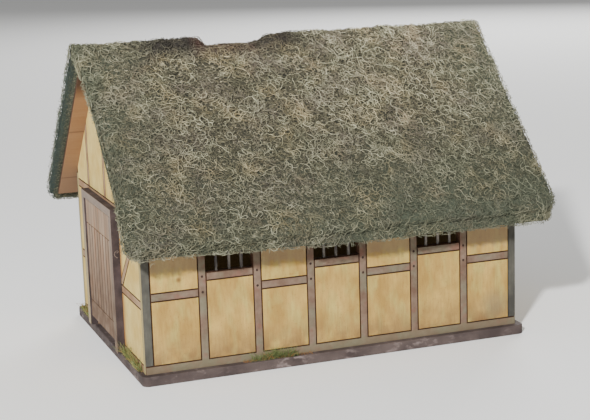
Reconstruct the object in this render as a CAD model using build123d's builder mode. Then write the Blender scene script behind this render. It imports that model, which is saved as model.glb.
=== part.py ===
"""A tabletop model of a thatched, half timbered house.

It is cut from sheet fibreboard: wall sheets with the timber framing engraved in their
faces, a base plate, two roof boards with a mat of thatch on each, and a planked door in
a proud frame. Lengths are in millimetres.

Frame: X along the long walls, with the doorway in the -X end. -Y is the front, +Z is up.
The origin is at the middle of the footprint, on the underside of the base plate.
"""
import os
from math import cos, radians, sin, sqrt, tan

from build123d import *

os.makedirs("parts", exist_ok=True)

# Sheet and engraving
sheet = 3.0                       # wall sheets and door frame, and the width of each timber
skin = 0.6                        # depth of the engraved face of a wall sheet
kerf = 0.42                       # width of an engraved line

# House
wall_length = 150.0               # over the two end walls
house_depth = 101.0               # over the two long walls
base_thickness = 3.7
base_corner = 2.5
base_left = 1.8                   # how far the base plate shows beyond each wall
base_right = 2.75
base_front = 2.6
base_back = 6.0
eave_height = 62.4                # roof underside at the outer face of a long wall
roof_pitch = 45.0

# Long walls: seven bays, with a window in every second one
bay_count = 7
window_bays = (1, 3, 5)
rail_bottom = 30.5
window_bottom = 39.2
window_top = 52.2

# End walls
end_rail_bottom = 27.5
tie_bottom = 57.4
stud_places = (-28.0, 0.0, 28.0)
brace_foot = -21.6                # outer edge of the brace where it meets the rail

# Doorway and door
frame_near = -19.9                # outer edges of the proud frame, along Y
frame_far = 29.6
jamb_width = 3.9
lintel_bottom = 56.4
door_gap = 0.4                    # clear space round the leaf
door_stop = 1.5                   # the wall sheet laps behind the leaf by this much
leaf_bottom = 7.3
leaf_board = 1.6
plank_thickness = 0.4
plank_count = 9
low_rail_top = 14.5               # rails across the leaf, with the planks between them
high_rail_bottom = 46.3

# Roof
board_thickness = 1.5
board_overhang = 6.2              # beyond each end wall
board_slope = 86.0                # ridge to eave, along the slope
mat_thickness = 3.3
mat_overhang = 10.6
mat_slope = 89.5
mat_corner = 6.0
worn_from = -31.0                 # worn stretch of the ridge, along X
worn_to = -9.0
worn_height = 116.6

half_length = wall_length / 2
half_depth = house_depth / 2
end_half_width = half_depth - sheet
sill_top = base_thickness + sheet
bay_pitch = (wall_length - sheet) / bay_count
slope = radians(roof_pitch)
ridge_height = eave_height + half_depth * tan(slope)
door_near = frame_near + jamb_width
door_far = frame_far - jamb_width
leaf_near = door_near + door_gap
leaf_far = door_far - door_gap
leaf_top = lintel_bottom - door_gap
doorway_near = leaf_near + door_stop
doorway_far = leaf_far - door_stop
doorway_top = leaf_top - door_stop
overshoot = 5.0                   # timbers are drawn this far past the sheet, then trimmed

pieces = {}


def slab(left, right, low, high, grow=0.0, mode=Mode.ADD):
    """A rectangle in the current sketch, grown by the same amount on every side."""
    with Locations(((left + right) / 2, (low + high) / 2)):
        Rectangle(right - left + 2 * grow, high - low + 2 * grow, mode=mode)


def bay_edges(bay):
    """The left and right edges of the panel in one bay of a long wall."""
    left = bay_pitch * bay + sheet - half_length
    return left, left + bay_pitch - sheet


def long_wall_outline(mode=Mode.ADD):
    """The face of a long wall, from the base plate to the eave."""
    slab(-half_length, half_length, base_thickness, eave_height, mode=mode)


def long_wall_posts(grow, mode=Mode.ADD):
    """The sill and the wall plate, with the six posts between the bays."""
    reach = half_length + overshoot
    slab(-reach, reach, base_thickness - overshoot, sill_top, grow, mode)
    slab(sheet - half_length, half_length - sheet, eave_height - sheet, eave_height + overshoot, grow, mode)
    for post in range(1, bay_count):
        left = bay_pitch * post - half_length
        slab(left, left + sheet, base_thickness, eave_height, grow, mode)


def long_wall_corner_posts(grow, mode=Mode.ADD):
    """The posts at both ends of a long wall, which stand on its sill."""
    reach = half_length + overshoot
    slab(-reach, sheet - half_length, sill_top, eave_height + overshoot, grow, mode)
    slab(half_length - sheet, reach, sill_top, eave_height + overshoot, grow, mode)


def long_wall_rails(grow, mode=Mode.ADD):
    """A rail across each plain bay, and a sill and a head for each window."""
    for bay in range(bay_count):
        left, right = bay_edges(bay)
        if bay in window_bays:
            slab(left, right, window_bottom - sheet, window_bottom, grow, mode)
            slab(left, right, window_top, window_top + sheet, grow, mode)
        else:
            slab(left, right, rail_bottom, rail_bottom + sheet, grow, mode)


def window_holes(mode=Mode.SUBTRACT):
    """The three windows of a long wall."""
    for bay in window_bays:
        slab(*bay_edges(bay), window_bottom, window_top, mode=mode)


def end_wall_outline(low=base_thickness, mode=Mode.ADD):
    """The face of an end wall, from a height up to the roof."""
    shoulder = ridge_height - end_half_width * tan(slope)
    Polygon((-end_half_width, low), (end_half_width, low), (end_half_width, shoulder),
            (0, ridge_height), (-end_half_width, shoulder), align=None, mode=mode)


def end_wall_timbers(has_doorway, grow, mode=Mode.ADD):
    """The sill, rail, tie beam and studs of an end wall, and the brace beside the doorway."""
    reach = end_half_width + overshoot
    rail_top = end_rail_bottom + sheet
    slab(-reach, reach, base_thickness - overshoot, sill_top, grow, mode)
    slab(-reach, reach, end_rail_bottom, rail_top, grow, mode)
    slab(-reach, reach, tie_bottom, tie_bottom + sheet, grow, mode)
    storeys = [(tie_bottom + sheet, ridge_height + overshoot)]
    if not has_doorway:
        storeys += [(sill_top, end_rail_bottom), (rail_top, tie_bottom)]
    for place in stud_places:
        for low, high in storeys:
            slab(place - sheet / 2, place + sheet / 2, low, high, grow, mode)
    if has_doorway:
        rise = tie_bottom - rail_top
        foot = brace_foot - grow * sqrt(2)
        width = (sheet + 2 * grow) * sqrt(2)
        Polygon((foot, rail_top - grow), (foot + width, rail_top - grow),
                (foot + width - rise, tie_bottom + grow), (foot - rise, tie_bottom + grow),
                align=None, mode=mode)


def doorway_hole(mode=Mode.SUBTRACT):
    """The doorway, cut up from the foot of the end wall."""
    slab(doorway_near, doorway_far, base_thickness - overshoot, doorway_top, mode=mode)


# Base plate
with BuildPart() as base_plate:
    with BuildSketch():
        with Locations(((base_right - base_left) / 2, (base_back - base_front) / 2)):
            RectangleRounded(wall_length + base_left + base_right, house_depth + base_front + base_back, base_corner)
    extrude(amount=base_thickness)
pieces["base_plate"] = base_plate

# Long walls: the engraved face, and the sheet behind it, which is split at the windows
for side, facing in (("front", 1), ("back", -1)):
    face = Plane.XZ.offset(facing * half_depth)
    behind = Plane.XZ.offset(facing * (half_depth - skin))
    inward = -facing

    for name, draw in (("posts", long_wall_posts), ("rails", long_wall_rails)):
        with BuildPart() as timbers:
            with BuildSketch(face):
                draw(-kerf / 2)
                long_wall_outline(Mode.INTERSECT)
            extrude(amount=inward * skin)
        pieces[f"{side}_{name}"] = timbers

    with BuildPart() as plaster:
        with BuildSketch(face):
            long_wall_outline()
            long_wall_posts(kerf / 2, Mode.SUBTRACT)
            long_wall_corner_posts(kerf / 2, Mode.SUBTRACT)
            long_wall_rails(kerf / 2, Mode.SUBTRACT)
            window_holes()
        extrude(amount=inward * skin)
    pieces[f"{side}_plaster"] = plaster

    with BuildPart() as lower_sheet:
        with BuildSketch(behind):
            slab(-half_length, half_length, base_thickness, window_bottom)
        extrude(amount=inward * (sheet - skin))
    pieces[f"{side}_wall_lower"] = lower_sheet

    with BuildPart() as piers:
        with BuildSketch(behind):
            slab(-half_length, half_length, window_bottom, window_top)
            window_holes()
        extrude(amount=inward * (sheet - skin))
    pieces[f"{side}_wall_piers"] = piers

    with BuildPart() as upper_sheet:
        with BuildSketch(behind):
            slab(-half_length, half_length, window_top, eave_height)
        extrude(amount=inward * (sheet - skin))
    pieces[f"{side}_wall_upper"] = upper_sheet

# Corner posts of both long walls
with BuildPart() as corner_posts:
    for facing in (1, -1):
        with BuildSketch(Plane.XZ.offset(facing * half_depth)):
            long_wall_corner_posts(-kerf / 2)
            long_wall_outline(Mode.INTERSECT)
        extrude(amount=-facing * skin)
pieces["corner_posts"] = corner_posts

# End walls: the engraved faces
for name, has_doorway, facing in (("door_end", True, -1), ("plain_end", False, 1)):
    face = Plane.YZ.offset(facing * half_length)

    with BuildPart() as timbers:
        with BuildSketch(face):
            end_wall_timbers(has_doorway, -kerf / 2)
            end_wall_outline(mode=Mode.INTERSECT)
            if has_doorway:
                doorway_hole()
        extrude(amount=-facing * skin)
    pieces[f"{name}_timbers"] = timbers

    with BuildPart() as plaster:
        with BuildSketch(face):
            end_wall_outline()
            end_wall_timbers(has_doorway, kerf / 2, Mode.SUBTRACT)
            if has_doorway:
                doorway_hole()
        extrude(amount=-facing * skin)
    pieces[f"{name}_plaster"] = plaster

# Sheet of the plain end wall
with BuildPart() as plain_end_wall:
    with BuildSketch(Plane.YZ.offset(half_length - skin)):
        end_wall_outline()
    extrude(amount=skin - sheet)
pieces["plain_end_wall"] = plain_end_wall

# Sheet of the door end wall, split beside and over the doorway
door_end_sheet = Plane.YZ.offset(skin - half_length)
for name, near, far in (("door_end_near", -end_half_width, doorway_near),
                        ("door_end_far", doorway_far, end_half_width)):
    with BuildPart() as beside_door:
        with BuildSketch(door_end_sheet):
            slab(near, far, base_thickness, doorway_top)
        extrude(amount=sheet - skin)
    pieces[name] = beside_door

with BuildPart() as door_end_gable:
    with BuildSketch(door_end_sheet):
        end_wall_outline(low=doorway_top)
    extrude(amount=sheet - skin)
pieces["door_end_gable"] = door_end_gable

# Door frame, proud of the wall by the thickness of its own sheet
for name, near in (("door_jamb_near", frame_near), ("door_jamb_far", door_far)):
    with BuildPart() as jamb:
        with BuildSketch(Plane.YZ.offset(-half_length)):
            slab(near, near + jamb_width, base_thickness, lintel_bottom)
        extrude(amount=-sheet)
    pieces[name] = jamb

with BuildPart() as door_lintel:
    with BuildSketch(Plane.YZ.offset(-half_length)):
        slab(frame_near, frame_far, lintel_bottom, lintel_bottom + sheet)
    extrude(amount=-sheet)
pieces["door_lintel"] = door_lintel

# Door leaf: a board with a rail at its foot, a rail at its head and planks between them
leaf_back = Plane.YZ.offset(-half_length - door_gap)
leaf_face = Plane.YZ.offset(-half_length - door_gap - leaf_board)

with BuildPart() as door_leaf:
    with BuildSketch(leaf_back):
        slab(leaf_near, leaf_far, leaf_bottom, leaf_top)
    extrude(amount=-leaf_board)
pieces["door_leaf"] = door_leaf

with BuildPart() as door_planks:
    with BuildSketch(leaf_face):
        plank_width = (leaf_far - leaf_near) / plank_count
        for plank in range(plank_count):
            left = leaf_near + plank * plank_width
            slab(left, left + plank_width, low_rail_top, high_rail_bottom, -kerf / 2)
    extrude(amount=-plank_thickness)
pieces["door_planks"] = door_planks

with BuildPart() as door_rails:
    with BuildSketch(leaf_face):
        slab(leaf_near, leaf_far, leaf_bottom, low_rail_top, -kerf / 2)
        slab(leaf_near, leaf_far, high_rail_bottom, leaf_top, -kerf / 2)
    extrude(amount=-plank_thickness)
pieces["door_rails"] = door_rails


def slope_plane(facing, lift):
    """A plane on a roof slope, at a height off the underside of the roof boards.

    Its origin is over the ridge, its y runs up the slope and its z points outwards.
    """
    outward = Vector(0, facing * sin(slope), cos(slope))
    return Plane(Vector(0, 0, ridge_height) + outward * lift, (-facing, 0, 0), outward)


# Roof: each board and each mat is cut past the ridge and mitred on the middle plane
for side, facing, keep in (("front", -1, Keep.TOP), ("back", 1, Keep.BOTTOM)):
    past_ridge = 2 * (board_thickness + mat_thickness)
    with BuildPart() as board:
        with BuildSketch(slope_plane(facing, 0)):
            slab(-half_length - board_overhang, half_length + board_overhang, -board_slope, past_ridge)
        extrude(amount=board_thickness)
        split(bisect_by=Plane.XZ, keep=keep)
    pieces[f"roof_board_{side}"] = board

    with BuildPart() as mat:
        with BuildSketch(slope_plane(facing, board_thickness)) as mat_sketch:
            slab(-half_length - mat_overhang, half_length + mat_overhang, -mat_slope, past_ridge)
            fillet(mat_sketch.vertices().group_by(SortBy.DISTANCE)[-1], mat_corner)
        extrude(amount=mat_thickness)
        split(bisect_by=Plane.XZ, keep=keep)
        with Locations(((worn_from + worn_to) / 2, 0, worn_height + past_ridge / 2)):
            Box(worn_to - worn_from, past_ridge * 2, past_ridge, mode=Mode.SUBTRACT)
    pieces[f"thatch_{side}"] = mat

for name, piece in pieces.items():
    piece.part.label = name
    export_step(piece.part, f"parts/{name}.step")
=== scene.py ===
"""The looks of a tabletop model house: painted fibreboard walls under a fibre thatch."""
from math import cos, pi, radians, sin

import bmesh
import bpy
import numpy as np
from mathutils import Matrix, Vector


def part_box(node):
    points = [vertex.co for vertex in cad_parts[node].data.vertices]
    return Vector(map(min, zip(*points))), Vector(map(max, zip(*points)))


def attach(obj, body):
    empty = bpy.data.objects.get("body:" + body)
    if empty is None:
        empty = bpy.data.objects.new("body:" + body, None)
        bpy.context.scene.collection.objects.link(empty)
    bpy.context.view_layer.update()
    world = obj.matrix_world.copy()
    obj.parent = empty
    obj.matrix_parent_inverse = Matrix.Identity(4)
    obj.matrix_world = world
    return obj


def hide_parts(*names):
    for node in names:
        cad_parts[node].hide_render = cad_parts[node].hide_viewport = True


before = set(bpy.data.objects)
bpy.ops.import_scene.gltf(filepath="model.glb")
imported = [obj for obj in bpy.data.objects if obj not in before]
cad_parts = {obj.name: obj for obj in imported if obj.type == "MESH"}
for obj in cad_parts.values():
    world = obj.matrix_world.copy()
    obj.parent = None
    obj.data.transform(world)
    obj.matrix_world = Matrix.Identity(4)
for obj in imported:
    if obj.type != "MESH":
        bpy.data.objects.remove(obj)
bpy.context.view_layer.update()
MM = 0.001

# ---------------------------------------------------------------- sizes, read from the frame
POSTS_LOW, POSTS_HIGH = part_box("front_posts")
PIERS_LOW, PIERS_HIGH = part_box("front_wall_piers")
LEAF_LOW, LEAF_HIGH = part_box("door_leaf")
FRAME_NEAR, FRAME_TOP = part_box("door_jamb_near")
BASE_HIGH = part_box("base_plate")[1]
BOARD_LOW, BOARD_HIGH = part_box("roof_board_front")
MAT_LOW, MAT_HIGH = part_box("thatch_front")

SHEET = 3.0 * MM
HALF_LENGTH = POSTS_HIGH.x
HALF_DEPTH = -POSTS_LOW.y
WALL_FOOT = BASE_HIGH.z
EAVE = POSTS_HIGH.z
BAYS = 7
BAY_PITCH = (2 * HALF_LENGTH - SHEET) / BAYS
WINDOW_BAYS = (1, 3, 5)
WINDOW_LOW = PIERS_LOW.z
WINDOW_HIGH = PIERS_HIGH.z
RAIL_MIDDLE = 32.0 * MM
BAR_PITCH = 4.9 * MM
BAR_SHIFT = 0.5 * MM
SILL_PEG = WINDOW_LOW - 1.4 * MM
PLANKS = 9
# a painted shadow of the front eave, a grey brown band in the paint, starts at this height in the middle, and
# lower towards the plain end
EAVE_SHADOW_LOW = EAVE - 23.6 * MM
EAVE_SHADOW_SLANT = 0.028
# a knot that shows through the first front panel, and a damp stain on the last
KNOT_MM = (-61.3, -50.5, 37.6)
DAMP_MM = (66.0, -50.5, 13.0)
# fibreboard where it is bare
RAW_DARK = "#85663F"
RAW_PALE = "#9C7C55"

SLOPE = radians(45.0)
GUIDE_LINES = (BOARD_LOW.z + 30 * MM, BOARD_LOW.z + 8 * MM)
RIDGE_TOP = MAT_HIGH.z
MAT_THICKNESS = (MAT_HIGH.z - BOARD_HIGH.z) * cos(SLOPE)
MAT_SLOPE = (MAT_HIGH.z - MAT_LOW.z - MAT_THICKNESS * cos(SLOPE)) / sin(SLOPE)
MAT_HALF = MAT_HIGH.x
MAT_CORNER = 6.0 * MM
EDGE_ROUND = 1.6 * MM
# what a rounded edge adds to the way over it, how deep the felt lies under the fibres, and its lip
WRAP = EDGE_ROUND * (pi / 2 - 1)
SINK = 0.9 * MM
LIP = 3.2 * MM
# how far fibres hang below the eave, at the door end and past the first bays
FRINGE_SHORT = 1.9 * MM
FRINGE = 4.4 * MM
# the worn hollow in the ridge
WORN_FROM = -35.0 * MM
WORN_TO = -8.6 * MM
WORN_FALL = 3.0 * MM
WORN_RISE = 6.0 * MM
WORN_DEPTH = 3.4 * MM
WORN_REACH = 6.0 * MM
SOOT_MIDDLE = (WORN_FROM + WORN_TO) / 2 - 4 * MM
CURL_POINTS = 24
EAVE_CURLS = 10


# ---------------------------------------------------------------- nodes and meshes
def paint(code):
    """A colour from its sRGB hex code, as linear RGBA."""
    channels = [int(code[i:i + 2], 16) / 255 for i in (1, 3, 5)]
    return [c / 12.92 if c <= 0.04045 else ((c + 0.055) / 1.055) ** 2.4 for c in channels] + [1.0]


def add(tree, kind, inputs=None, out=0, stops=(), **settings):
    """Adds a node, gives its inputs values, hex colours or links, and returns one of its outputs."""
    made = tree.nodes.new("ShaderNode" + kind)
    for name, value in settings.items():
        setattr(made, name, value)
    for name, value in (inputs or {}).items():
        if isinstance(value, bpy.types.NodeSocket):
            tree.links.new(value, made.inputs[name])
        else:
            made.inputs[name].default_value = paint(value) if isinstance(value, str) else value
    for number, (place, colour) in enumerate(stops):
        steps = made.color_ramp.elements
        step = steps[number] if number < 2 else steps.new(place)
        step.position = place
        step.color = paint(colour)
    return made.outputs[out]


def new_material(name, roughness, specular=0.3):
    """A material, its node tree, its shader and the object coordinates that its patterns read."""
    made = bpy.data.materials.new(name)
    made.use_nodes = True
    tree = made.node_tree
    shader = tree.nodes["Principled BSDF"]
    shader.inputs["Roughness"].default_value = roughness
    shader.inputs["Specular IOR Level"].default_value = specular
    return made, tree, shader, add(tree, "TexCoord", out="Object")


def mottle(tree, place, size_mm, low=0.35, high=0.65, stretch=(1, 1, 1), detail=3.0, shift=0.0):
    """A 0 to 1 pattern of patches about size_mm across, drawn out along the stretched axes."""
    scale = [1 / (size_mm * MM * s) for s in stretch]
    spread = add(tree, "Mapping", {"Vector": place, "Location": [shift] * 3, "Scale": scale})
    cloud = add(tree, "TexNoise", {"Vector": spread, "Scale": 1.0, "Detail": detail})
    return add(tree, "MapRange", {"Value": cloud, "From Min": low, "From Max": high})


def finish_material(tree, shader, colour, relief, depth_mm):
    """Links the colour and a relief of a real depth to the shader."""
    tree.links.new(colour, shader.inputs["Base Color"])
    raised = add(tree, "Bump", {"Height": relief, "Strength": 1.0, "Distance": depth_mm * MM})
    tree.links.new(raised, shader.inputs["Normal"])


def scorched(tree, colour, axis, least=0.95):
    """Keeps what the laser cut burnt brown: the colour is only on faces that turn along the axis."""
    turned = add(tree, "TexCoord", out="Normal")
    facing = add(tree, "SeparateXYZ", {0: turned}, axis)
    facing = add(tree, "Math", {0: facing}, operation="ABSOLUTE")
    painted = add(tree, "Math", {0: facing, 1: least}, operation="GREATER_THAN")
    return add(tree, "Mix", {0: painted, 6: "#4A3325", 7: colour}, 2, data_type="RGBA")


def near_point(tree, place, centre_mm, radius_mm):
    """1 at a point, falling to 0 at a radius from it."""
    centre = [c * MM for c in centre_mm]
    away = add(tree, "VectorMath", {0: place, 1: centre}, "Value", operation="DISTANCE")
    radius = radius_mm * MM
    return add(tree, "MapRange", {"Value": away, "From Min": radius, "From Max": 0.3 * radius})


def past_walls(tree, place):
    """How far a point lies past the outside of the end walls, and past that of the nearest of all four."""
    size = add(tree, "VectorMath", {0: place}, operation="ABSOLUTE")
    over = add(tree, "VectorMath", {0: size, 1: (HALF_LENGTH, HALF_DEPTH, 0)}, operation="SUBTRACT")
    past_end = add(tree, "SeparateXYZ", {0: over})
    past_any = add(tree, "Math", {0: past_end, 1: past_end.node.outputs["Y"]}, operation="MAXIMUM")
    return past_end, past_any


def laid_over(tree, colour, tone, pattern, share):
    """Lays a tone thinly over a colour where a pattern is: at its full strength it covers only a share."""
    cover = add(tree, "Math", {0: pattern, 1: share}, operation="MULTIPLY")
    return add(tree, "Mix", {0: cover, 6: colour, 7: tone}, 2, data_type="RGBA")


def into_scene(name, data, place=(0, 0, 0)):
    """An object made from its data and linked to the scene."""
    made = bpy.data.objects.new(name, data)
    made.location = place
    bpy.context.scene.collection.objects.link(made)
    return made


def piece_from(mesh, name, material, body, smooth_below, replaced=()):
    """Makes a finished piece that rides on a body, smooth where its faces meet below an angle in degrees."""
    if isinstance(mesh, bmesh.types.BMesh):
        bm, mesh = mesh, bpy.data.meshes.new(name)
        bm.to_mesh(mesh)
        bm.free()
    mesh.name = name
    made = into_scene(name, mesh)
    mesh.materials.clear()
    mesh.materials.append(material)
    mesh.shade_smooth()
    mesh.set_sharp_from_angle(angle=radians(smooth_below))
    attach(made, body)
    if replaced:
        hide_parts(*replaced)


def block(bm, low, high, edge):
    """Adds a box between two corners, with its edges rounded."""
    low, high = Vector(low), Vector(high)
    made = bmesh.ops.create_cube(bm, size=1.0)["verts"]
    bmesh.ops.scale(bm, vec=high - low, verts=made)
    bmesh.ops.translate(bm, vec=(low + high) / 2, verts=made)
    edges = list({e for v in made for e in v.link_edges})
    bmesh.ops.bevel(bm, geom=edges, offset=edge, offset_type="OFFSET", affect="EDGES", segments=2,
                    profile=0.5, material=-1, clamp_overlap=True)


def softened(node, body, material, edge_mm):
    """Puts the same shape with its sharp edges rounded in the place of a CAD node."""
    bm = bmesh.new()
    bm.from_mesh(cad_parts[node].data)
    bmesh.ops.remove_doubles(bm, verts=bm.verts, dist=0.001 * MM)
    bmesh.ops.dissolve_limit(bm, angle_limit=radians(1), verts=bm.verts, edges=bm.edges)
    sharp = [e for e in bm.edges if e.calc_face_angle(0) > radians(30)]
    bmesh.ops.bevel(bm, geom=sharp, offset=edge_mm * MM, offset_type="OFFSET", affect="EDGES", segments=2,
                    profile=0.5, material=-1, clamp_overlap=True)
    piece_from(bm, node + "_finished", material, body, 20, [node])


# ---------------------------------------------------------------- materials
def ochre_paint():
    """Matt acrylic brushed down fibreboard: pale ochre, olive strokes, brown foot and a grey brown painted
    shadow under the eave.
    """
    made, tree, shader, place = new_material("ochre_acrylic_paint", 0.85, 0.25)
    wash = mottle(tree, place, 8.0, 0.35, 0.65, stretch=(1, 1, 1.6))
    strokes = mottle(tree, place, 1.1, 0.4, 0.7, stretch=(1, 1, 5), detail=5.0)
    olive = mottle(tree, place, 5.0, 0.48, 0.66, stretch=(1, 1, 2.2), shift=11.0)
    specks = mottle(tree, place, 0.8, 0.6, 0.68, shift=7.0)
    colour = add(tree, "Mix", {0: wash, 6: "#9C7C40", 7: "#BB9B56"}, 2, data_type="RGBA")
    colour = laid_over(tree, colour, "#B0A25C", olive, 0.6)
    colour = laid_over(tree, colour, "#8E6D3C", strokes, 0.36)
    along = add(tree, "SeparateXYZ", {0: place})
    height = along.node.outputs["Z"]
    foot = add(tree, "MapRange", {"Value": height, "From Min": WALL_FOOT + 15 * MM,
                                  "From Max": WALL_FOOT + 2 * MM})
    patchy = mottle(tree, place, 6.0, 0.25, 0.55, shift=3.0)
    dirty = add(tree, "Math", {0: foot, 1: patchy}, operation="MULTIPLY")
    colour = laid_over(tree, colour, "#694E38", dirty, 0.75)
    colour = laid_over(tree, colour, "#7A5C30", specks, 0.3)
    # painted shadow under the eave: a grey brown band with a ragged lower edge that falls towards the plain
    # end
    slant = add(tree, "Math", {0: along, 1: EAVE_SHADOW_SLANT, 2: height}, operation="MULTIPLY_ADD")
    ragged = mottle(tree, place, 1.6, 0.3, 0.7, shift=17.0)
    lifted = add(tree, "Math", {0: ragged, 1: 2.2 * MM, 2: slant}, operation="MULTIPLY_ADD")
    eave_shadow = add(tree, "MapRange", {"Value": lifted, "From Min": EAVE_SHADOW_LOW, "From Max": EAVE_SHADOW_LOW + 2.5 * MM})
    colour = laid_over(tree, colour, "#8D7A66", eave_shadow, 0.6)
    knot = near_point(tree, place, KNOT_MM, 1.3)
    colour = laid_over(tree, colour, "#6E4F2A", knot, 0.85)
    damp = near_point(tree, place, DAMP_MM, 7.5)
    colour = laid_over(tree, colour, "#7B7258", damp, 0.45)
    finish_material(tree, shader, scorched(tree, colour, "Y"), strokes, 0.05)
    return made


def timber_paint():
    """Matt acrylic over the engraved timbers: grey brown, here and there greener, greyer or redder."""
    made, tree, shader, place = new_material("grey_brown_acrylic_paint", 0.8, 0.3)
    wash = mottle(tree, place, 6.0, 0.35, 0.65)
    green = mottle(tree, place, 9.0, 0.45, 0.65, shift=5.0)
    red = mottle(tree, place, 4.0, 0.55, 0.7, shift=14.0)
    grain = mottle(tree, place, 0.6, stretch=(3, 3, 3), detail=5.0)
    colour = add(tree, "Mix", {0: wash, 6: "#634C3E", 7: "#7A6656"}, 2, data_type="RGBA")
    colour = add(tree, "Mix", {0: green, 6: colour, 7: "#6F6956"}, 2, data_type="RGBA")
    colour = laid_over(tree, colour, "#7E5446", red, 0.6)
    colour = laid_over(tree, colour, "#54402F", grain, 0.35)
    height = add(tree, "SeparateXYZ", {0: place}, "Z")
    sill = add(tree, "MapRange", {"Value": height, "From Min": WALL_FOOT + 1.2 * SHEET,
                                  "From Max": WALL_FOOT + SHEET, "To Max": 0.5})
    colour = add(tree, "Mix", {0: sill, 6: colour, 7: "#69614A"}, 2, data_type="RGBA")
    finish_material(tree, shader, scorched(tree, colour, "Y"), grain, 0.04)
    return made


def cream_paint():
    """Matt acrylic on the end walls: paler cream, oranger where it meets the near door jamb below the frame's
    top.
    """
    made, tree, shader, place = new_material("cream_acrylic_paint", 0.85, 0.25)
    wash = mottle(tree, place, 8.0, 0.35, 0.65)
    strokes = mottle(tree, place, 1.2, 0.4, 0.7, stretch=(1, 1, 4), detail=5.0)
    colour = add(tree, "Mix", {0: wash, 6: "#C3A65C", 7: "#D3BC77"}, 2, data_type="RGBA")
    colour = laid_over(tree, colour, "#AD8F4E", strokes, 0.4)
    along = add(tree, "SeparateXYZ", {0: place})
    # oranger within a few mm of the near jamb, below the frame's top
    away = add(tree, "Math", {0: along.node.outputs["Y"], 1: -FRAME_NEAR.y}, operation="ADD")
    away = add(tree, "Math", {0: away}, operation="ABSOLUTE")
    close = add(tree, "MapRange", {"Value": away, "From Min": 4 * MM, "From Max": 0.5 * MM})
    door_end = add(tree, "Math", {0: along, 1: 0.0}, operation="LESS_THAN")
    close = add(tree, "Math", {0: close, 1: door_end}, operation="MULTIPLY")
    below = add(tree, "MapRange", {"Value": along.node.outputs["Z"], "From Min": FRAME_TOP.z + 6 * MM,
                                   "From Max": FRAME_TOP.z - 2 * MM})
    close = add(tree, "Math", {0: close, 1: below}, operation="MULTIPLY")
    colour = laid_over(tree, colour, "#9A5A30", close, 0.7)
    finish_material(tree, shader, scorched(tree, colour, "X"), strokes, 0.05)
    return made


def tan_paint():
    """Matt acrylic on the end timbers: pinkish tan, thin over the board."""
    made, tree, shader, place = new_material("tan_acrylic_paint", 0.8, 0.3)
    wash = mottle(tree, place, 7.0)
    grain = mottle(tree, place, 0.7, detail=4.0)
    colour = add(tree, "Mix", {0: wash, 6: "#8E6D50", 7: "#A58A6A"}, 2, data_type="RGBA")
    colour = laid_over(tree, colour, "#74573E", grain, 0.3)
    finish_material(tree, shader, scorched(tree, colour, "X"), grain, 0.04)
    return made


def slate_paint():
    """Matt acrylic on the corner timbers: dark slate grey, streaked darker along the grain."""
    made, tree, shader, place = new_material("slate_acrylic_paint", 0.8, 0.3)
    wash = mottle(tree, place, 8.0)
    grain = mottle(tree, place, 0.8, stretch=(1, 1, 4), detail=4.0)
    colour = add(tree, "Mix", {0: wash, 6: "#3A3934", 7: "#56544B"}, 2, data_type="RGBA")
    colour = laid_over(tree, colour, "#35302A", grain, 0.3)
    finish_material(tree, shader, colour, grain, 0.04)
    return made


def scuffed_base_paint():
    """Dark acrylic on the base plate, drybrushed paler where it is handled, and bare inside the house."""
    made, tree, shader, place = new_material("dark_acrylic_paint", 0.75, 0.3)
    wash = mottle(tree, place, 10.0)
    scuffs = mottle(tree, place, 1.9, 0.55, 0.7, stretch=(1.6, 1.6, 1), detail=6.0)
    worn = mottle(tree, place, 20.0, 0.38, 0.58, shift=6.0)
    scuffs = add(tree, "Math", {0: scuffs, 1: worn}, operation="MULTIPLY")
    grit = mottle(tree, place, 0.5, detail=4.0)
    colour = add(tree, "Mix", {0: wash, 6: "#3C3230", 7: "#564A46"}, 2, data_type="RGBA")
    colour = laid_over(tree, colour, "#8B7C78", scuffs, 0.6)
    raw = add(tree, "Mix", {0: grit, 6: RAW_DARK, 7: RAW_PALE}, 2, data_type="RGBA")
    _, past_any = past_walls(tree, place)
    inside = add(tree, "Math", {0: past_any, 1: -SHEET}, operation="LESS_THAN")
    colour = add(tree, "Mix", {0: inside, 6: colour, 7: raw}, 2, data_type="RGBA")
    finish_material(tree, shader, colour, grit, 0.08)
    return made


def laser_cut_board():
    """Fibreboard: burnt brown where the laser cut it, raw inside the house, painted pale at the wall ends."""
    made, tree, shader, place = new_material("laser_cut_fibreboard", 0.9, 0.2)
    fibres = mottle(tree, place, 0.7, detail=5.0)
    burnt = add(tree, "Mix", {0: fibres, 6: "#452F22", 7: "#5E4230"}, 2, data_type="RGBA")
    raw = add(tree, "Mix", {0: fibres, 6: RAW_DARK, 7: RAW_PALE}, 2, data_type="RGBA")
    past_end, past_any = past_walls(tree, place)
    inside = add(tree, "Math", {0: past_any, 1: -SHEET + 0.05 * MM}, operation="LESS_THAN")
    colour = add(tree, "Mix", {0: inside, 6: burnt, 7: raw}, 2, data_type="RGBA")
    end = add(tree, "Math", {0: past_end, 1: -0.02 * MM}, operation="GREATER_THAN")
    colour = add(tree, "Mix", {0: end, 6: colour, 7: "#9C8D62"}, 2, data_type="RGBA")
    finish_material(tree, shader, colour, fibres, 0.05)
    return made


def raw_leaf_board():
    """Fibreboard of the door leaf: raw brown on its back, burnt darker round its edge."""
    made, tree, shader, place = new_material("raw_fibreboard", 0.9, 0.2)
    fibres = mottle(tree, place, 0.7, detail=5.0)
    blotches = mottle(tree, place, 8.0)
    colour = add(tree, "Mix", {0: fibres, 6: RAW_DARK, 7: RAW_PALE}, 2, data_type="RGBA")
    colour = laid_over(tree, colour, "#77593A", blotches, 0.5)
    finish_material(tree, shader, scorched(tree, colour, "X"), fibres, 0.05)
    return made


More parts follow.
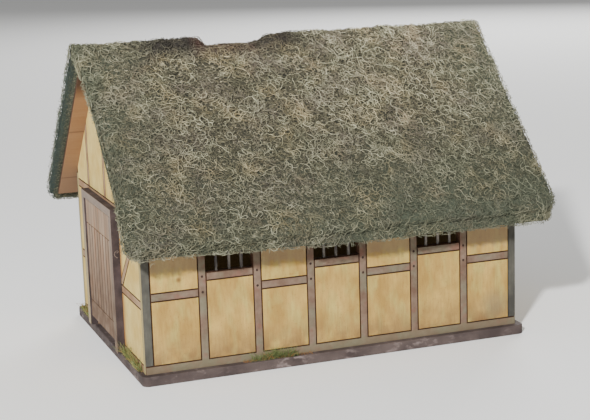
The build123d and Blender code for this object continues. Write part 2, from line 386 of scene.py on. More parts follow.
def bare_roof_board():
    """Thin plywood left bare: orange tan with engraved guide lines, near black painted shade in the apex, and
    a duller tone with a painted shadow towards the eave.
    """
    made, tree, shader, place = new_material("bare_plywood", 0.7, 0.35)
    tone = mottle(tree, place, 14.0, stretch=(3, 1, 1))
    grain = mottle(tree, place, 0.7, stretch=(14, 1, 1), detail=5.0)
    colour = add(tree, "Mix", {0: tone, 6: "#866240", 7: "#937150"}, 2, data_type="RGBA")
    colour = laid_over(tree, colour, "#74492B", grain, 0.25)
    height = add(tree, "SeparateXYZ", {0: place}, "Z")
    # painted shade in the apex of the board, near black
    top = add(tree, "MapRange", {"Value": height, "From Min": BOARD_HIGH.z - 19 * MM,
                                 "From Max": BOARD_HIGH.z - 12 * MM})
    colour = laid_over(tree, colour, "#3A261C", top, 0.92)
    # towards the eave: a duller, darker brown, in part a painted shadow
    foot = add(tree, "MapRange", {"Value": height, "From Min": BOARD_LOW.z + 20 * MM,
                                  "From Max": BOARD_LOW.z + 8 * MM})
    colour = laid_over(tree, colour, "#7C614A", foot, 0.6)
    for line in GUIDE_LINES:
        off = add(tree, "Math", {0: height, 1: -line}, operation="ADD")
        off = add(tree, "Math", {0: off}, operation="ABSOLUTE")
        cut = add(tree, "MapRange", {"Value": off, "From Min": 0.32 * MM, "From Max": 0.15 * MM})
        colour = laid_over(tree, colour, "#4E2F1E", cut, 0.6)
    finish_material(tree, shader, scorched(tree, colour, "Z", 0.6), grain, 0.03)
    return made


def frame_paint(name, low_tone):
    """Grey acrylic on the front of the door frame, thinner low down, over sides that the laser left dark."""
    made, tree, shader, place = new_material(name, 0.8, 0.3)
    wash = mottle(tree, place, 6.0)
    grain = mottle(tree, place, 0.6, stretch=(1, 1, 3), detail=4.0)
    height = add(tree, "SeparateXYZ", {0: place}, "Z")
    high = add(tree, "MapRange", {"Value": height, "From Min": FRAME_TOP.z * 0.35,
                                  "From Max": FRAME_TOP.z * 0.95})
    painted = add(tree, "Mix", {0: high, 6: low_tone, 7: "#82746A"}, 2, data_type="RGBA")
    painted = laid_over(tree, painted, "#9B8C79", wash, 0.4)
    painted = laid_over(tree, painted, "#5E5044", grain, 0.4)
    burnt = add(tree, "Mix", {0: wash, 6: "#2E2524", 7: "#463A39"}, 2, data_type="RGBA")
    forward = add(tree, "SeparateXYZ", {0: add(tree, "TexCoord", out="Normal")}, "X")
    front = add(tree, "Math", {0: forward, 1: -0.7}, operation="LESS_THAN")
    colour = add(tree, "Mix", {0: front, 6: burnt, 7: painted}, 2, data_type="RGBA")
    finish_material(tree, shader, colour, grain, 0.04)
    return made


def door_paint(name, line_share):
    """Warm grey brown acrylic on the engraved planks, streaked along the grain, each a little different."""
    made, tree, shader, place = new_material(name, 0.8, 0.3)
    plank = (LEAF_HIGH.y - LEAF_LOW.y) / PLANKS
    across = add(tree, "SeparateXYZ", {0: place}, "Y")
    steps = add(tree, "Math", {0: across, 1: plank}, operation="DIVIDE")
    steps = add(tree, "Math", {0: steps, 1: -LEAF_LOW.y / plank}, operation="ADD")
    number = add(tree, "Math", {0: steps}, operation="FLOOR")
    own = add(tree, "TexWhiteNoise", {"W": number}, noise_dimensions="1D")
    part = add(tree, "Math", {0: steps}, operation="FRACT")
    edge = add(tree, "Math", {0: part, 1: 0.5}, operation="SUBTRACT")
    edge = add(tree, "Math", {0: edge}, operation="ABSOLUTE")
    groove = add(tree, "MapRange", {"Value": edge, "From Min": 0.5 - 0.6 * MM / plank,
                                   "From Max": 0.5 - 0.25 * MM / plank})
    streaks = mottle(tree, place, 1.0, 0.3, 0.7, stretch=(1, 1, 10), detail=5.0)
    warm = mottle(tree, place, 5.0, 0.5, 0.75, stretch=(1, 0.5, 3), shift=4.0)
    colour = add(tree, "Mix", {0: own, 6: "#8A7560", 7: "#A58F79"}, 2, data_type="RGBA")
    colour = laid_over(tree, colour, "#614A3B", streaks, 0.45)
    colour = add(tree, "Mix", {0: warm, 6: colour, 7: "#966F50"}, 2, data_type="RGBA")
    height = add(tree, "SeparateXYZ", {0: place}, "Z")
    foot = add(tree, "MapRange", {"Value": height, "From Min": LEAF_HIGH.z * 0.8,
                                  "From Max": LEAF_LOW.z + 8 * MM})
    cloud = mottle(tree, place, 4.0, shift=8.0)
    patchy = add(tree, "MapRange", {"Value": cloud, "To Min": 0.5, "To Max": 0.9})
    dirty = add(tree, "Math", {0: foot, 1: patchy}, operation="MULTIPLY")
    colour = add(tree, "Mix", {0: dirty, 6: colour, 7: "#57402F"}, 2, data_type="RGBA")
    colour = laid_over(tree, colour, "#3A2A22", groove, line_share)
    finish_material(tree, shader, colour, streaks, 0.06)
    return made


def bar_paint():
    """Grey paint on thin wooden bars, worn pale."""
    made, tree, shader, place = new_material("bar_acrylic_paint", 0.8, 0.3)
    wear = mottle(tree, place, 2.0, 0.4, 0.65, stretch=(1, 1, 3))
    grain = mottle(tree, place, 0.4, stretch=(1, 1, 5))
    colour = add(tree, "Mix", {0: wear, 6: "#484340", 7: "#867F76"}, 2, data_type="RGBA")
    finish_material(tree, shader, colour, grain, 0.04)
    return made


def peg_paint():
    """Dark brown in the round peg marks."""
    made, tree, shader, place = new_material("peg_stain", 0.85, 0.2)
    grain = mottle(tree, place, 0.4)
    colour = add(tree, "Mix", {0: grain, 6: "#2C201C", 7: "#43322A"}, 2, data_type="RGBA")
    finish_material(tree, shader, colour, grain, 0.03)
    return made


def greened(tree, place, colour):
    """Greyer green where glue lies thick in the thatch: low down, and towards both verges."""
    along = add(tree, "SeparateXYZ", {0: place})
    height = along.node.outputs["Z"]
    low = add(tree, "MapRange", {"Value": height, "From Min": EAVE + 26 * MM, "From Max": EAVE - 8 * MM})
    right = add(tree, "MapRange", {"Value": along, "From Min": -30 * MM, "From Max": 40 * MM, "To Min": 0.5})
    low = add(tree, "Math", {0: low, 1: right}, operation="MULTIPLY")
    door_end = add(tree, "MapRange", {"Value": along, "From Min": 36 * MM - MAT_HALF,
                                      "From Max": 4 * MM - MAT_HALF, "To Max": 0.7})
    plain_end = add(tree, "MapRange", {"Value": along, "From Min": MAT_HALF - 30 * MM,
                                       "From Max": MAT_HALF - 4 * MM, "To Max": 0.55})
    damp = add(tree, "Math", {0: low, 1: door_end}, operation="MAXIMUM")
    damp = add(tree, "Math", {0: damp, 1: plain_end}, operation="MAXIMUM")
    cloud = mottle(tree, place, 9.0, 0.3, 0.7, detail=4.0, shift=2.0)
    patchy = add(tree, "MapRange", {"Value": cloud, "To Min": 0.42, "To Max": 0.82})
    damp = add(tree, "Math", {0: damp, 1: patchy}, operation="MULTIPLY")
    return add(tree, "Mix", {0: damp, 6: colour, 7: "#464E40"}, 2, data_type="RGBA")


def bleached(tree, place, colour):
    """Paler thatch towards the ridge, most of all past the middle of the house."""
    along = add(tree, "SeparateXYZ", {0: place})
    height = along.node.outputs["Z"]
    sunny = add(tree, "MapRange", {"Value": height, "From Min": EAVE + 10 * MM, "From Max": RIDGE_TOP})
    bright = add(tree, "MapRange", {"Value": along, "From Min": -20 * MM, "From Max": 30 * MM,
                                    "To Min": 0.18, "To Max": 0.65})
    value = add(tree, "Math", {0: sunny, 1: bright, 2: 1.0}, operation="MULTIPLY_ADD")
    return add(tree, "HueSaturation", {"Color": colour, "Value": value})


def glue_soaked(tree, place, colour):
    """Teal where dyed glue soaked into the back mat's verge at the door end, under its top skin."""
    along = add(tree, "SeparateXYZ", {0: place})
    back = along.node.outputs["Y"]
    skin = add(tree, "Math", {0: back, 1: along.node.outputs["Z"]}, operation="ADD")
    deep = add(tree, "MapRange", {"Value": skin, "From Min": RIDGE_TOP - 1.2 * MM,
                                  "From Max": RIDGE_TOP - 3.6 * MM})
    behind = add(tree, "MapRange", {"Value": back, "From Min": 0.0, "From Max": 4 * MM})
    verge = add(tree, "MapRange", {"Value": along, "From Min": 4 * MM - MAT_HALF,
                                   "From Max": 2 * MM - MAT_HALF, "To Max": 0.65})
    glue = add(tree, "Math", {0: deep, 1: behind}, operation="MULTIPLY")
    glue = add(tree, "Math", {0: glue, 1: verge}, operation="MULTIPLY")
    return add(tree, "Mix", {0: glue, 6: colour, 7: "#3A4C4C"}, 2, data_type="RGBA")


def sooted(tree, place, colour):
    """Soot along the ridge about the worn hollow, redder in its middle."""
    along = add(tree, "SeparateXYZ", {0: place})
    top = add(tree, "MapRange", {"Value": along.node.outputs["Z"], "From Min": RIDGE_TOP - 8.5 * MM,
                                 "From Max": RIDGE_TOP - 3 * MM})
    away = add(tree, "Math", {0: along, 1: -SOOT_MIDDLE}, operation="ADD")
    away = add(tree, "Math", {0: away}, operation="ABSOLUTE")
    near = add(tree, "MapRange", {"Value": away, "From Min": 40 * MM, "From Max": 28 * MM})
    soot = add(tree, "Math", {0: top, 1: near}, operation="MULTIPLY")
    cloud = mottle(tree, place, 9.0, 0.3, 0.7, detail=4.0, shift=2.0)
    smoke = add(tree, "MapRange", {"Value": cloud, "To Min": 0.55, "To Max": 0.97})
    soot = add(tree, "Math", {0: soot, 1: smoke}, operation="MULTIPLY")
    middle = add(tree, "MapRange", {"Value": away, "From Min": 14 * MM, "From Max": 10 * MM})
    tone = add(tree, "Mix", {0: middle, 6: "#2F2B29", 7: "#46302C"}, 2, data_type="RGBA")
    return add(tree, "Mix", {0: soot, 6: colour, 7: tone}, 2, data_type="RGBA")


def weathered(tree, place, colour):
    """Everything that tints the thatch as a whole, over the colour of its fibres."""
    for tint in (greened, bleached, glue_soaked, sooted):
        colour = tint(tree, place, colour)
    return colour


def felted_fibre():
    """The body of the mat: plant fibre felted with glue, in dark curls that show between the fibres."""
    made, tree, shader, place = new_material("felted_plant_fibre", 0.85, 0.2)
    colour = add(tree, "Mix", {0: mottle(tree, place, 3.0), 6: "#26261F", 7: "#38362C"}, 2, data_type="RGBA")
    relief = None
    for layer, tone in enumerate(("#474537", "#5A5645", "#777058", "#989076")):
        field = mottle(tree, place, 2.3 - 0.2 * layer, 0.0, 1.0, detail=1.5, shift=11.0 * layer)
        off = add(tree, "Math", {0: field, 1: 0.5}, operation="SUBTRACT")
        off = add(tree, "Math", {0: off}, operation="ABSOLUTE")
        curl = add(tree, "MapRange", {"Value": off, "From Min": 0.026, "From Max": 0.01})
        colour = add(tree, "Mix", {0: curl, 6: colour, 7: tone}, 2, data_type="RGBA")
        relief = curl if relief is None else add(tree, "Math", {0: relief, 1: curl}, operation="ADD")
    finish_material(tree, shader, weathered(tree, place, colour), relief, 0.15)
    return made


def curly_fibre(name, deep, middle, tip):
    """Curly plant fibre stiffened with glue: dark in the mat, drybrushed paler towards its surface."""
    made, tree, shader, place = new_material(name, 0.8, 0.2)
    share = add(tree, "Attribute", out="Fac", attribute_name="proud")
    fleck = mottle(tree, place, 1.5, 0.2, 0.8)
    share = add(tree, "Mix", {0: 0.3, 2: share, 3: fleck}, data_type="FLOAT")
    colour = add(tree, "ValToRGB", {0: share}, stops=[(0.0, deep), (0.55, middle), (1.0, tip)])
    dry = mottle(tree, place, 13.0, 0.5, 0.7, shift=9.0)
    dry = add(tree, "Math", {0: dry, 1: share}, operation="MULTIPLY")
    colour = laid_over(tree, colour, "#BFA877", dry, 0.6)
    plum = mottle(tree, place, 15.0, 0.45, 0.62, shift=4.0)
    colour = laid_over(tree, colour, "#6C5D5A", plum, 0.3)
    finish_material(tree, shader, weathered(tree, place, colour), mottle(tree, place, 0.25), 0.03)
    return made


def flock_fibre(name, foot, tip):
    """Dyed flock: short fibres, browner at the foot and brighter at the tip."""
    made, tree, shader, place = new_material(name, 0.8, 0.2)
    height = add(tree, "SeparateXYZ", {0: place}, "Z")
    share = add(tree, "MapRange", {"Value": height, "From Min": WALL_FOOT, "From Max": WALL_FOOT + 2.5 * MM})
    share = add(tree, "Mix", {0: 0.5, 2: share, 3: mottle(tree, place, 1.2, 0.3, 0.7)}, data_type="FLOAT")
    colour = add(tree, "Mix", {0: share, 6: foot, 7: tip}, 2, data_type="RGBA")
    finish_material(tree, shader, colour, mottle(tree, place, 0.2), 0.03)
    return made


ochre = ochre_paint()
timber = timber_paint()
slate = slate_paint()
dark_base = scuffed_base_paint()
board = laser_cut_board()
leaf_board = raw_leaf_board()
ply = bare_roof_board()
near_frame = frame_paint("near_frame_acrylic_paint", "#5F4A3B")
far_frame = frame_paint("far_frame_acrylic_paint", "#AC9C76")
plank_colour = door_paint("plank_acrylic_paint", 0.95)
rail_colour = door_paint("door_rail_acrylic_paint", 0.25)
cream = cream_paint()
tan = tan_paint()
bar_colour = bar_paint()
peg_colour = peg_paint()
mat_dark = felted_fibre()
fibre_olive = curly_fibre("curly_fibre_olive", "#33342A", "#5F5C4A", "#8A846B")
fibre_straw = curly_fibre("curly_fibre_straw", "#44443A", "#8B8970", "#C8C4A6")
fibre_pink = curly_fibre("curly_fibre_pink", "#5C4640", "#8A6A60", "#A98C80")
flock_green = flock_fibre("green_flock", "#484C30", "#6A7545")
flock_yellow = flock_fibre("yellow_flock", "#625C38", "#8E8852")
flock_orange = flock_fibre("orange_flock", "#6E4F30", "#A37646")


# ---------------------------------------------------------------- walls, base and door
for name in ("front_wall_lower", "front_wall_piers", "front_wall_upper", "back_wall_lower",
             "back_wall_piers", "back_wall_upper", "plain_end_wall", "door_end_near",
             "door_end_far", "door_end_gable"):
    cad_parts[name].data.materials.clear()
    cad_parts[name].data.materials.append(board)

# each finish, the rounding of its edges in mm, and the pieces that have it
for material, edge_mm, nodes in (
        (timber, 0.07, ("front_posts", "front_rails", "back_posts", "back_rails")),
        (tan, 0.07, ("door_end_timbers", "plain_end_timbers")),
        (ochre, 0.07, ("front_plaster", "back_plaster")),
        (cream, 0.07, ("door_end_plaster", "plain_end_plaster")),
        (slate, 0.07, ("corner_posts",)),
        (dark_base, 0.25, ("base_plate",)),
        (near_frame, 0.12, ("door_jamb_near", "door_lintel")),
        (far_frame, 0.12, ("door_jamb_far",)),
        (ply, 0.1, ("roof_board_front", "roof_board_back"))):
    for name in nodes:
        softened(name, "house", material, edge_mm)
softened("door_leaf", "door", leaf_board, 0.1)
softened("door_planks", "door", plank_colour, 0.06)
softened("door_rails", "door", rail_colour, 0.06)


def window_bars(side, facing):
    """Three thin bars behind each window of a long wall."""
    bm = bmesh.new()
    rng = np.random.default_rng(21 + facing)
    middle_y = facing * (HALF_DEPTH - SHEET / 2)
    for bay in WINDOW_BAYS:
        left = BAY_PITCH * bay + SHEET - HALF_LENGTH
        for bar in (1, 2, 3):
            x = left + BAR_PITCH * bar - BAR_SHIFT + rng.uniform(-0.2, 0.2) * MM
            half = rng.uniform(0.42, 0.5) * MM
            block(bm, (x - half, middle_y - half, WINDOW_LOW - 0.2 * MM),
                  (x + half, middle_y + half, WINDOW_HIGH + 0.2 * MM), 0.14 * MM)
            glue = Matrix.Translation((x, middle_y, WINDOW_LOW)) @ Matrix.Diagonal((1, 1, 0.7, 1))
            bmesh.ops.create_icosphere(bm, subdivisions=2, radius=rng.uniform(0.55, 0.75) * MM, matrix=glue)
    piece_from(bm, side + "_window_bars", bar_colour, "house", 40)


def peg_marks(side, facing):
    """Two round pegs in each post of a long wall, at the rail and at the window sill."""
    bm = bmesh.new()
    for post in range(1, BAYS):
        x = BAY_PITCH * post + SHEET / 2 - HALF_LENGTH
        for z in (RAIL_MIDDLE, SILL_PEG):
            turned = Matrix.Translation((x, facing * HALF_DEPTH, z))
            turned = turned @ Matrix.Rotation(facing * -pi / 2, 4, "X")
            bmesh.ops.create_cone(bm, cap_ends=True, cap_tris=False, segments=14, radius1=0.55 * MM,
                                  radius2=0.42 * MM, depth=0.2 * MM, matrix=turned)
    piece_from(bm, side + "_peg_marks", peg_colour, "house", 40)


for side, facing in (("front", -1), ("back", 1)):
    window_bars(side, facing)
    peg_marks(side, facing)


# ---------------------------------------------------------------- thatch
def trimmed(u, v, side):
    """How far a mat's verge stands in from its full length: the front mat is short at the door end."""
    short = 1.4 * MM + 2.4 * MM * np.sin(pi * np.clip(v / MAT_SLOPE, 0, 1) ** 1.15)
    return np.where((u < 0) & (side < 0), short, 0.0)


def fringe(u):
    """How far the fibres hang below the eave: short at the door end, longer past the first bays."""
    share = np.clip((u + HALF_LENGTH) / (90 * MM), 0, 1)
    return FRINGE_SHORT + (FRINGE - FRINGE_SHORT) * share ** 2 * (3 - 2 * share)


def ridge_height(x):
    """How the ridge line rises and falls: a lump beside the worn hollow, which is deep to its right end."""
    lump = 0.6 * MM * np.exp(-(((x + 44 * MM) / (9 * MM)) ** 2))
    lump = lump + 0.7 * MM * np.exp(-(((x + MAT_HALF) / (5 * MM)) ** 2))
    ripple = 0.2 * MM * np.sin(x / (5.3 * MM)) + 0.15 * MM * np.sin(x / (2.1 * MM) + 1)
    fall = np.clip((x - WORN_FROM) / WORN_FALL, 0, 1) * np.clip((WORN_TO - x) / WORN_RISE, 0, 1) ** 0.35
    return lump + ripple - WORN_DEPTH * fall


def on_mat(u, v, h, side):
    """Places points given along the ridge, down the slope and off the mat: past an edge they wrap it."""
    half = MAT_HALF - MAT_CORNER - trimmed(u, v, side)
    du = np.maximum(np.abs(u) - half, 0)
    dv = np.maximum(v - (MAT_SLOPE - MAT_CORNER), 0)
    reach = np.maximum(du, dv)
    aim = np.maximum(np.hypot(du, dv), 1e-9)
    past = np.maximum(reach - (MAT_CORNER - EDGE_ROUND), 0)
    turn = np.minimum(past / EDGE_ROUND, pi / 2)
    out = np.minimum(reach, MAT_CORNER - EDGE_ROUND) + (EDGE_ROUND + h) * np.sin(turn)
    lift = (EDGE_ROUND + h) * np.cos(turn) - EDGE_ROUND - np.maximum(past - EDGE_ROUND * pi / 2, 0)
    lift = np.where(past > 0, lift, h)
    out = np.where(past > 0, out, reach)
    lift = np.maximum(lift, -MAT_THICKNESS - 0.3 * MM - (fringe(u) - 0.6 * MM) * dv / aim)
    hang = np.maximum(-lift - MAT_THICKNESS, 0)
    x = np.sign(u) * (np.minimum(np.abs(u), half) + out * du / aim)
    down = np.minimum(v, MAT_SLOPE - MAT_CORNER) + out * dv / aim
    lift = lift + hang
    y = np.where(down < 0, -side, side) * (np.abs(down) * cos(SLOPE) + lift * sin(SLOPE))
    z = RIDGE_TOP - np.abs(down) * sin(SLOPE) + lift * cos(SLOPE) - hang
    z = z + ridge_height(x) * np.clip(1 - np.abs(down) / WORN_REACH, 0, 1)
    return np.stack([x, y, z], -1)


def fibre_mat(name, side):
    """The felted body of one thatch mat: lumpy on top, rounded at its edges, hollow over the board."""
    bm = bmesh.new()
    bmesh.ops.create_grid(bm, x_segments=120, y_segments=66, size=0.5)
    rng = np.random.default_rng(5 + side)
    # lumps between about 5 and 17 mm long
    wave = rng.uniform(370, 1300, (14, 2)) * rng.choice([-1, 1], (14, 2))
    phase = rng.uniform(0, 2 * pi, 14)
    flat = {}
    for vert in bm.verts:
        u = vert.co.x * 2 * (MAT_HALF + MAT_THICKNESS)
        v = (0.5 - vert.co.y) * (MAT_SLOPE + MAT_THICKNESS + FRINGE)
        flat[vert] = (u, v)
        lump = float(np.sin(wave @ (u, v) + phase).mean()) * 0.5 * MM
        vert.co = on_mat(np.float64(u), np.float64(v), np.float64(lump - SINK), side)
        vert.co.y = side * max(side * vert.co.y, 0)
    rim = [e for e in bm.edges if e.is_boundary]
    before = {v: flat[v] for e in rim for v in e.verts}
    lower = bmesh.ops.extrude_edge_only(bm, edges=rim)["geom"]
    inner_u, inner_v = MAT_HALF - LIP, MAT_SLOPE - LIP
    for vert in (g for g in lower if isinstance(g, bmesh.types.BMVert)):
        source = next(e.other_vert(vert) for e in vert.link_edges if e.other_vert(vert) in before)
        u, v = before[source]
        u, v = max(-inner_u, min(inner_u, u)), min(v, inner_v)
        y = side * max(v * cos(SLOPE) - MAT_THICKNESS * sin(SLOPE), 0)
        vert.co = (u, y, min(BOARD_HIGH.z, RIDGE_TOP - v * sin(SLOPE) - MAT_THICKNESS * cos(SLOPE)))
    bmesh.ops.contextual_create(bm, geom=[g for g in lower if isinstance(g, bmesh.types.BMEdge)])
    bmesh.ops.recalc_face_normals(bm, faces=bm.faces)
    piece_from(bm, name + "_mat", mat_dark, "house", 60, [name])


def swept(name, paths, width_mm, material, proud=None, taper=False):
    """Sweeps a thin three-sided closed fibre along each path, and joins them in one piece."""
    section = bpy.data.curves.new("section", "CURVE")
    line = section.splines.new("POLY")
    line.points.add(2)
    for point, angle in zip(line.points, (0, -2 * pi / 3, -4 * pi / 3)):
        point.co = (width_mm * MM / 2 * cos(angle), width_mm * MM / 2 * sin(angle), 0, 1)
    line.use_cyclic_u = True
    curve = bpy.data.curves.new(name, "CURVE")
    curve.dimensions = "3D"
    for path in paths:
        line = curve.splines.new("POLY")
        line.points.add(len(path) - 1)
        line.points.foreach_set("co", np.c_[path, np.ones(len(path))].ravel())
        if taper:
            line.points.foreach_set("radius", np.linspace(1, 0.25, len(path)))
    curve.bevel_mode = "OBJECT"
    curve.bevel_object = bpy.data.objects.new("section", section)
    holder = into_scene(name + "_curve", curve)
    mesh = bpy.data.meshes.new_from_object(holder.evaluated_get(bpy.context.evaluated_depsgraph_get()))
    bpy.data.objects.remove(curve.bevel_object)
    bpy.data.objects.remove(holder)
    bm = bmesh.new()
    bm.from_mesh(mesh)
    bmesh.ops.holes_fill(bm, edges=bm.edges, sides=3)
    bm.to_mesh(mesh)
    bm.free()
    if proud is not None:
        mesh.attributes.new("proud", "FLOAT", "POINT").data.foreach_set("value", np.repeat(proud, 3))
    piece_from(mesh, name, material, "house", 80)


def curls(rng, count, steps, step, radius):
    """Curly paths on a flat sheet, each about its own middle: the turn comes and goes along the fibre."""
    along = np.arange(steps) * step
    turn = rng.normal(0, 0.35, (count, 1)) * np.ones(steps)
    for length in (11 * MM, 5 * MM):
        wave = 2 * pi / (length * rng.uniform(0.7, 1.5, (count, 1)))
        turn += rng.uniform(0.4, 1.1, (count, 1)) * np.sin(wave * along + rng.uniform(0, 2 * pi, (count, 1)))
    heading = rng.uniform(0, 2 * pi, (count, 1)) + np.cumsum(turn, 1) * step / radius
    u = np.cumsum(np.cos(heading), 1) * step
    v = np.cumsum(np.sin(heading), 1) * step
    return u - u.mean(1, keepdims=True), v - v.mean(1, keepdims=True)


def fibre_layer(name, side, seed, count, radius_mm, width_mm, low_mm, high_mm, material):
    """One layer of curly fibres over a slope and its edges, each rising and dipping between two depths."""
    rng = np.random.default_rng(seed)
    steps, step = 26, 0.66 * MM
    u, v = curls(rng, count, steps, step, radius_mm * MM)
    u += rng.uniform(-1, 1, (count, 1)) * (MAT_HALF + MAT_THICKNESS)
    v += rng.uniform(-1.5 * MM, MAT_SLOPE + MAT_THICKNESS + FRINGE, (count, 1))
    lowest = MAT_SLOPE + WRAP + MAT_THICKNESS + fringe(u.mean(1, keepdims=True))
    v -= np.maximum(v.max(1, keepdims=True) - lowest, 0)
    widest = MAT_HALF + WRAP + MAT_THICKNESS + 0.5 * MM
    u -= np.maximum(u.max(1, keepdims=True) - widest, 0) + np.minimum(u.min(1, keepdims=True) + widest, 0)
    along = np.arange(steps) * step
    swing = np.sin(2 * pi * along / (rng.uniform(5, 9, (count, 1)) * MM) + rng.uniform(0, 2 * pi, (count, 1)))
    h = rng.uniform(low_mm, high_mm, (count, 1)) * MM + 0.22 * MM * swing
    proud = np.clip((h + SINK) / (SINK + 0.45 * MM), 0, 1).ravel()
    swept(name, on_mat(u, v, h, side), width_mm, material, proud)


def edge_hairs(name, side, seed, count, material):
    """Short fibre ends that stand out from the verges and the eave of a mat."""
    rng = np.random.default_rng(seed)
    at_verge = rng.random((count, 1)) < 0.55
    past = rng.uniform(-1, MAT_THICKNESS / MM + 1, (count, 1)) * MM
    sign = rng.choice([-1, 1], (count, 1))
    spread = rng.random((count, 1))
    u = np.where(at_verge, sign * (MAT_HALF + past), sign * spread * MAT_HALF)
    v = np.where(at_verge, spread * MAT_SLOPE, MAT_SLOPE + past + fringe(u) * rng.random((count, 1)))
    share = np.linspace(0, 1, 4)
    u = u + rng.normal(0, 1.1, (count, 1)) * MM * share + rng.normal(0, 0.3, (count, 1)) * MM * share ** 2
    v = v + rng.normal(0.2, 1.1, (count, 1)) * MM * share + rng.normal(0, 0.3, (count, 1)) * MM * share ** 2
    h = (-0.3 + rng.uniform(0.3, 1.3, (count, 1)) * share) * MM
    light = np.where(at_verge, 0.45, 0.35) * np.ones((1, 4))
    swept(name, on_mat(u, v, h, side), 0.18, material, light.ravel())


def open_curl(low, high, radius, turns):
    """The path of one long fibre that has come loose and hangs in an open curl from the mat's edge."""
    share = np.linspace(0, 1, CURL_POINTS)[:, None]
    low, high = np.array(low), np.array(high)
    angle = share * turns * 2 * pi
    swing = radius * np.c_[np.sin(angle), 0.4 * np.cos(angle), 1 - np.cos(angle)] * np.sin(pi * share) ** 0.5
    return high + (low - high) * share + swing - [0, 0, radius]


def eave_curls(seed, count):
    """Paths of small loose curls under the eave, thicker about the mat's near corner."""
    rng = np.random.default_rng(seed)
    paths = []
    for x in np.r_[rng.uniform(-80, -55, count // 2), rng.uniform(-55, 80, count // 2)] * MM:
        high = np.array([x, -rng.uniform(62, 66) * MM, EAVE - rng.uniform(11, 14) * MM])
        low = high + rng.uniform((-2, -0.5, -1.4), (2, 0.5, -0.4)) * MM
        paths.append(open_curl(low, high, rng.uniform(0.5, 1.2) * MM, rng.uniform(0.7, 1.6)))
    return paths


# each layer's fibres: how many, the radius of their curls, their width, the depths they lie between
LAYERS = (("under", 700, 1.5, 0.3, -0.8, -0.4, fibre_olive),
          ("middle", 1000, 1.1, 0.22, -0.55, -0.05, fibre_olive),
          ("straw", 1190, 0.92, 0.17, -0.3, 0.2, fibre_straw))
for side, facing, seed in (("front", -1, 100), ("back", 1, 200)):
    fibre_mat("thatch_" + side, facing)
    for number, (layer, *fibres) in enumerate(LAYERS, 1):
        fibre_layer(f"thatch_{side}_{layer}", facing, seed + number, *fibres)
    edge_hairs(f"thatch_{side}_edge", facing, seed + 4, 900, fibre_straw)
window_curl = open_curl((-2 * MM, -66 * MM, 49 * MM), (-7 * MM, -66 * MM, 52 * MM), 2.4 * MM, 1.4)
dull = np.ones((EAVE_CURLS + 1) * CURL_POINTS) * 0.35
swept("loose_curls", [window_curl] + eave_curls(300, EAVE_CURLS), 0.2, fibre_straw, dull)
jamb_curl = open_curl((-83.5 * MM, -51 * MM, 49 * MM), (-83.5 * MM, -51 * MM, 51 * MM), 0.8 * MM, 1.2)
swept("jamb_curl", [jamb_curl], 0.22, fibre_pink, np.ones(CURL_POINTS) * 0.7)


# ---------------------------------------------------------------- flock tufts glued to the base
def flock_tuft(name, low, high, count, seed, material, reach_mm):
    """A strip of scattered short blades glued along the foot of a wall, thinning out to its ends."""
    rng = np.random.default_rng(seed)
    share = rng.beta(1.6, 1.6, (count, 1))
    foot = np.array(low) + (np.array(high) - np.array(low)) * np.c_[share, rng.random((count, 1)), share * 0]
    lean = rng.normal(0, 0.4, (count, 2))
    clump = 0.75 + 0.25 * np.sin(share * 19 + seed)
    tall = rng.uniform(0.3, 1.0, (count, 1)) * reach_mm * MM * (0.45 + 0.55 * np.sin(pi * share)) * clump
    rise = np.c_[lean * tall, tall]
    bend = np.c_[rng.normal(0, 0.25, (count, 2)) * tall, -0.15 * tall]
    paths = np.stack([foot, foot + rise * 0.5, foot + rise + bend], 1)
    swept(name, paths, 0.24, material, taper=True)


foot = WALL_FOOT - 0.1 * MM
front = -HALF_DEPTH
end = -HALF_LENGTH
# each tuft: its colour, the strip it is glued on, how many blades, its seed and the height of the tallest
for name, material, low, high, count, seed, reach_mm in (
        ("front_green", flock_green, (-36 * MM, front - 2 * MM), (-16 * MM, front), 300, 31, 7.0),
        ("front_orange", flock_orange, (-40 * MM, front - 2 * MM), (-10 * MM, front), 130, 32, 3.2),
        ("near_green", flock_green, (end - 1.6 * MM, -46 * MM), (end, -21 * MM), 200, 33, 9.0),
        ("far_green", flock_green, (end - 1.6 * MM, 30 * MM), (end, 50 * MM), 200, 43, 6.0),
        ("near_yellow", flock_yellow, (end - 1.6 * MM, -46 * MM), (end, -21 * MM), 150, 34, 9.0),
        ("far_yellow", flock_yellow, (end - 1.6 * MM, 30 * MM), (end, 50 * MM), 150, 44, 6.0),
        ("near_orange", flock_orange, (end - 1.6 * MM, -46 * MM), (end, -21 * MM), 40, 35, 9.0),
        ("far_orange", flock_orange, (end - 1.6 * MM, 30 * MM), (end, 50 * MM), 40, 45, 6.0)):
    flock_tuft("flock_" + name, (*low, foot), (*high, foot), count, seed, material, reach_mm)


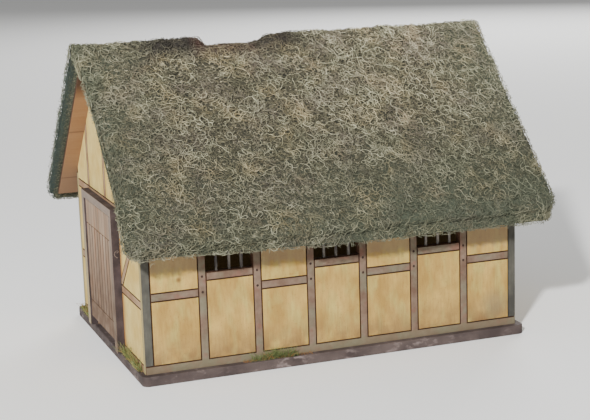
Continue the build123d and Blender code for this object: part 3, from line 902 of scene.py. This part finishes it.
# ---------------------------------------------------------------- floor, light and camera
def pale_floor():
    """A plain pale floor, matt as paper."""
    bm = bmesh.new()
    bmesh.ops.create_grid(bm, x_segments=1, y_segments=1, size=4.0)
    mesh = bpy.data.meshes.new("floor")
    bm.to_mesh(mesh)
    bm.free()
    material, _, shader, _ = new_material("pale_floor", 0.9, 0.1)
    shader.inputs["Base Color"].default_value = paint("#F7F7F5")
    mesh.materials.append(material)
    into_scene("floor", mesh)


def soft_lights():
    """An even white surround, a small key light at the front left, two broad lights and a weak one inside."""
    world = bpy.data.worlds.new("studio")
    bpy.context.scene.world = world
    world.use_nodes = True
    backdrop = world.node_tree.nodes["Background"]
    backdrop.inputs["Color"].default_value = paint("#FFFFFF")
    backdrop.inputs["Strength"].default_value = 0.28

    for name, place, size, power in (("key_light", (-0.8, -1.1, 0.78), 0.08, 43.0),
                                     ("top_light", (-0.3, -0.5, 1.4), 0.9, 3.0),
                                     ("back_light", (0.9, 1.3, 0.8), 0.8, 18.0)):
        light = bpy.data.lights.new(name, "AREA")
        light.size = size
        light.energy = power
        aim = Vector((0, 0, 0.05)) - Vector(place)
        into_scene(name, light, place).rotation_euler = aim.to_track_quat("-Z", "Y").to_euler()
    fill = bpy.data.lights.new("room_fill", "POINT")
    fill.energy = 0.02
    fill.color = (0.7, 0.95, 1.0)
    fill.shadow_soft_size = 0.01
    into_scene("room_fill", fill, (0, 0, RIDGE_TOP - 30 * MM))


def long_camera():
    """The camera: a long lens low in front of the door's corner, turned, tipped down and rolled a little."""
    turn, tip, roll = radians(-20.136), radians(11.573), radians(-1.84)
    lens = bpy.data.cameras.new("camera")
    lens.sensor_width = 36.0
    lens.lens = 89.35
    lens.clip_start = 0.01
    camera = into_scene("camera", lens, (-0.1969, -0.5440, 0.1663))
    turned = Matrix.Rotation(turn, 3, "Z") @ Matrix.Rotation(pi / 2 - tip, 3, "X")
    camera.rotation_euler = (turned @ Matrix.Rotation(roll, 3, "Z")).to_euler()
    bpy.context.scene.camera = camera


pale_floor()
soft_lights()
long_camera()
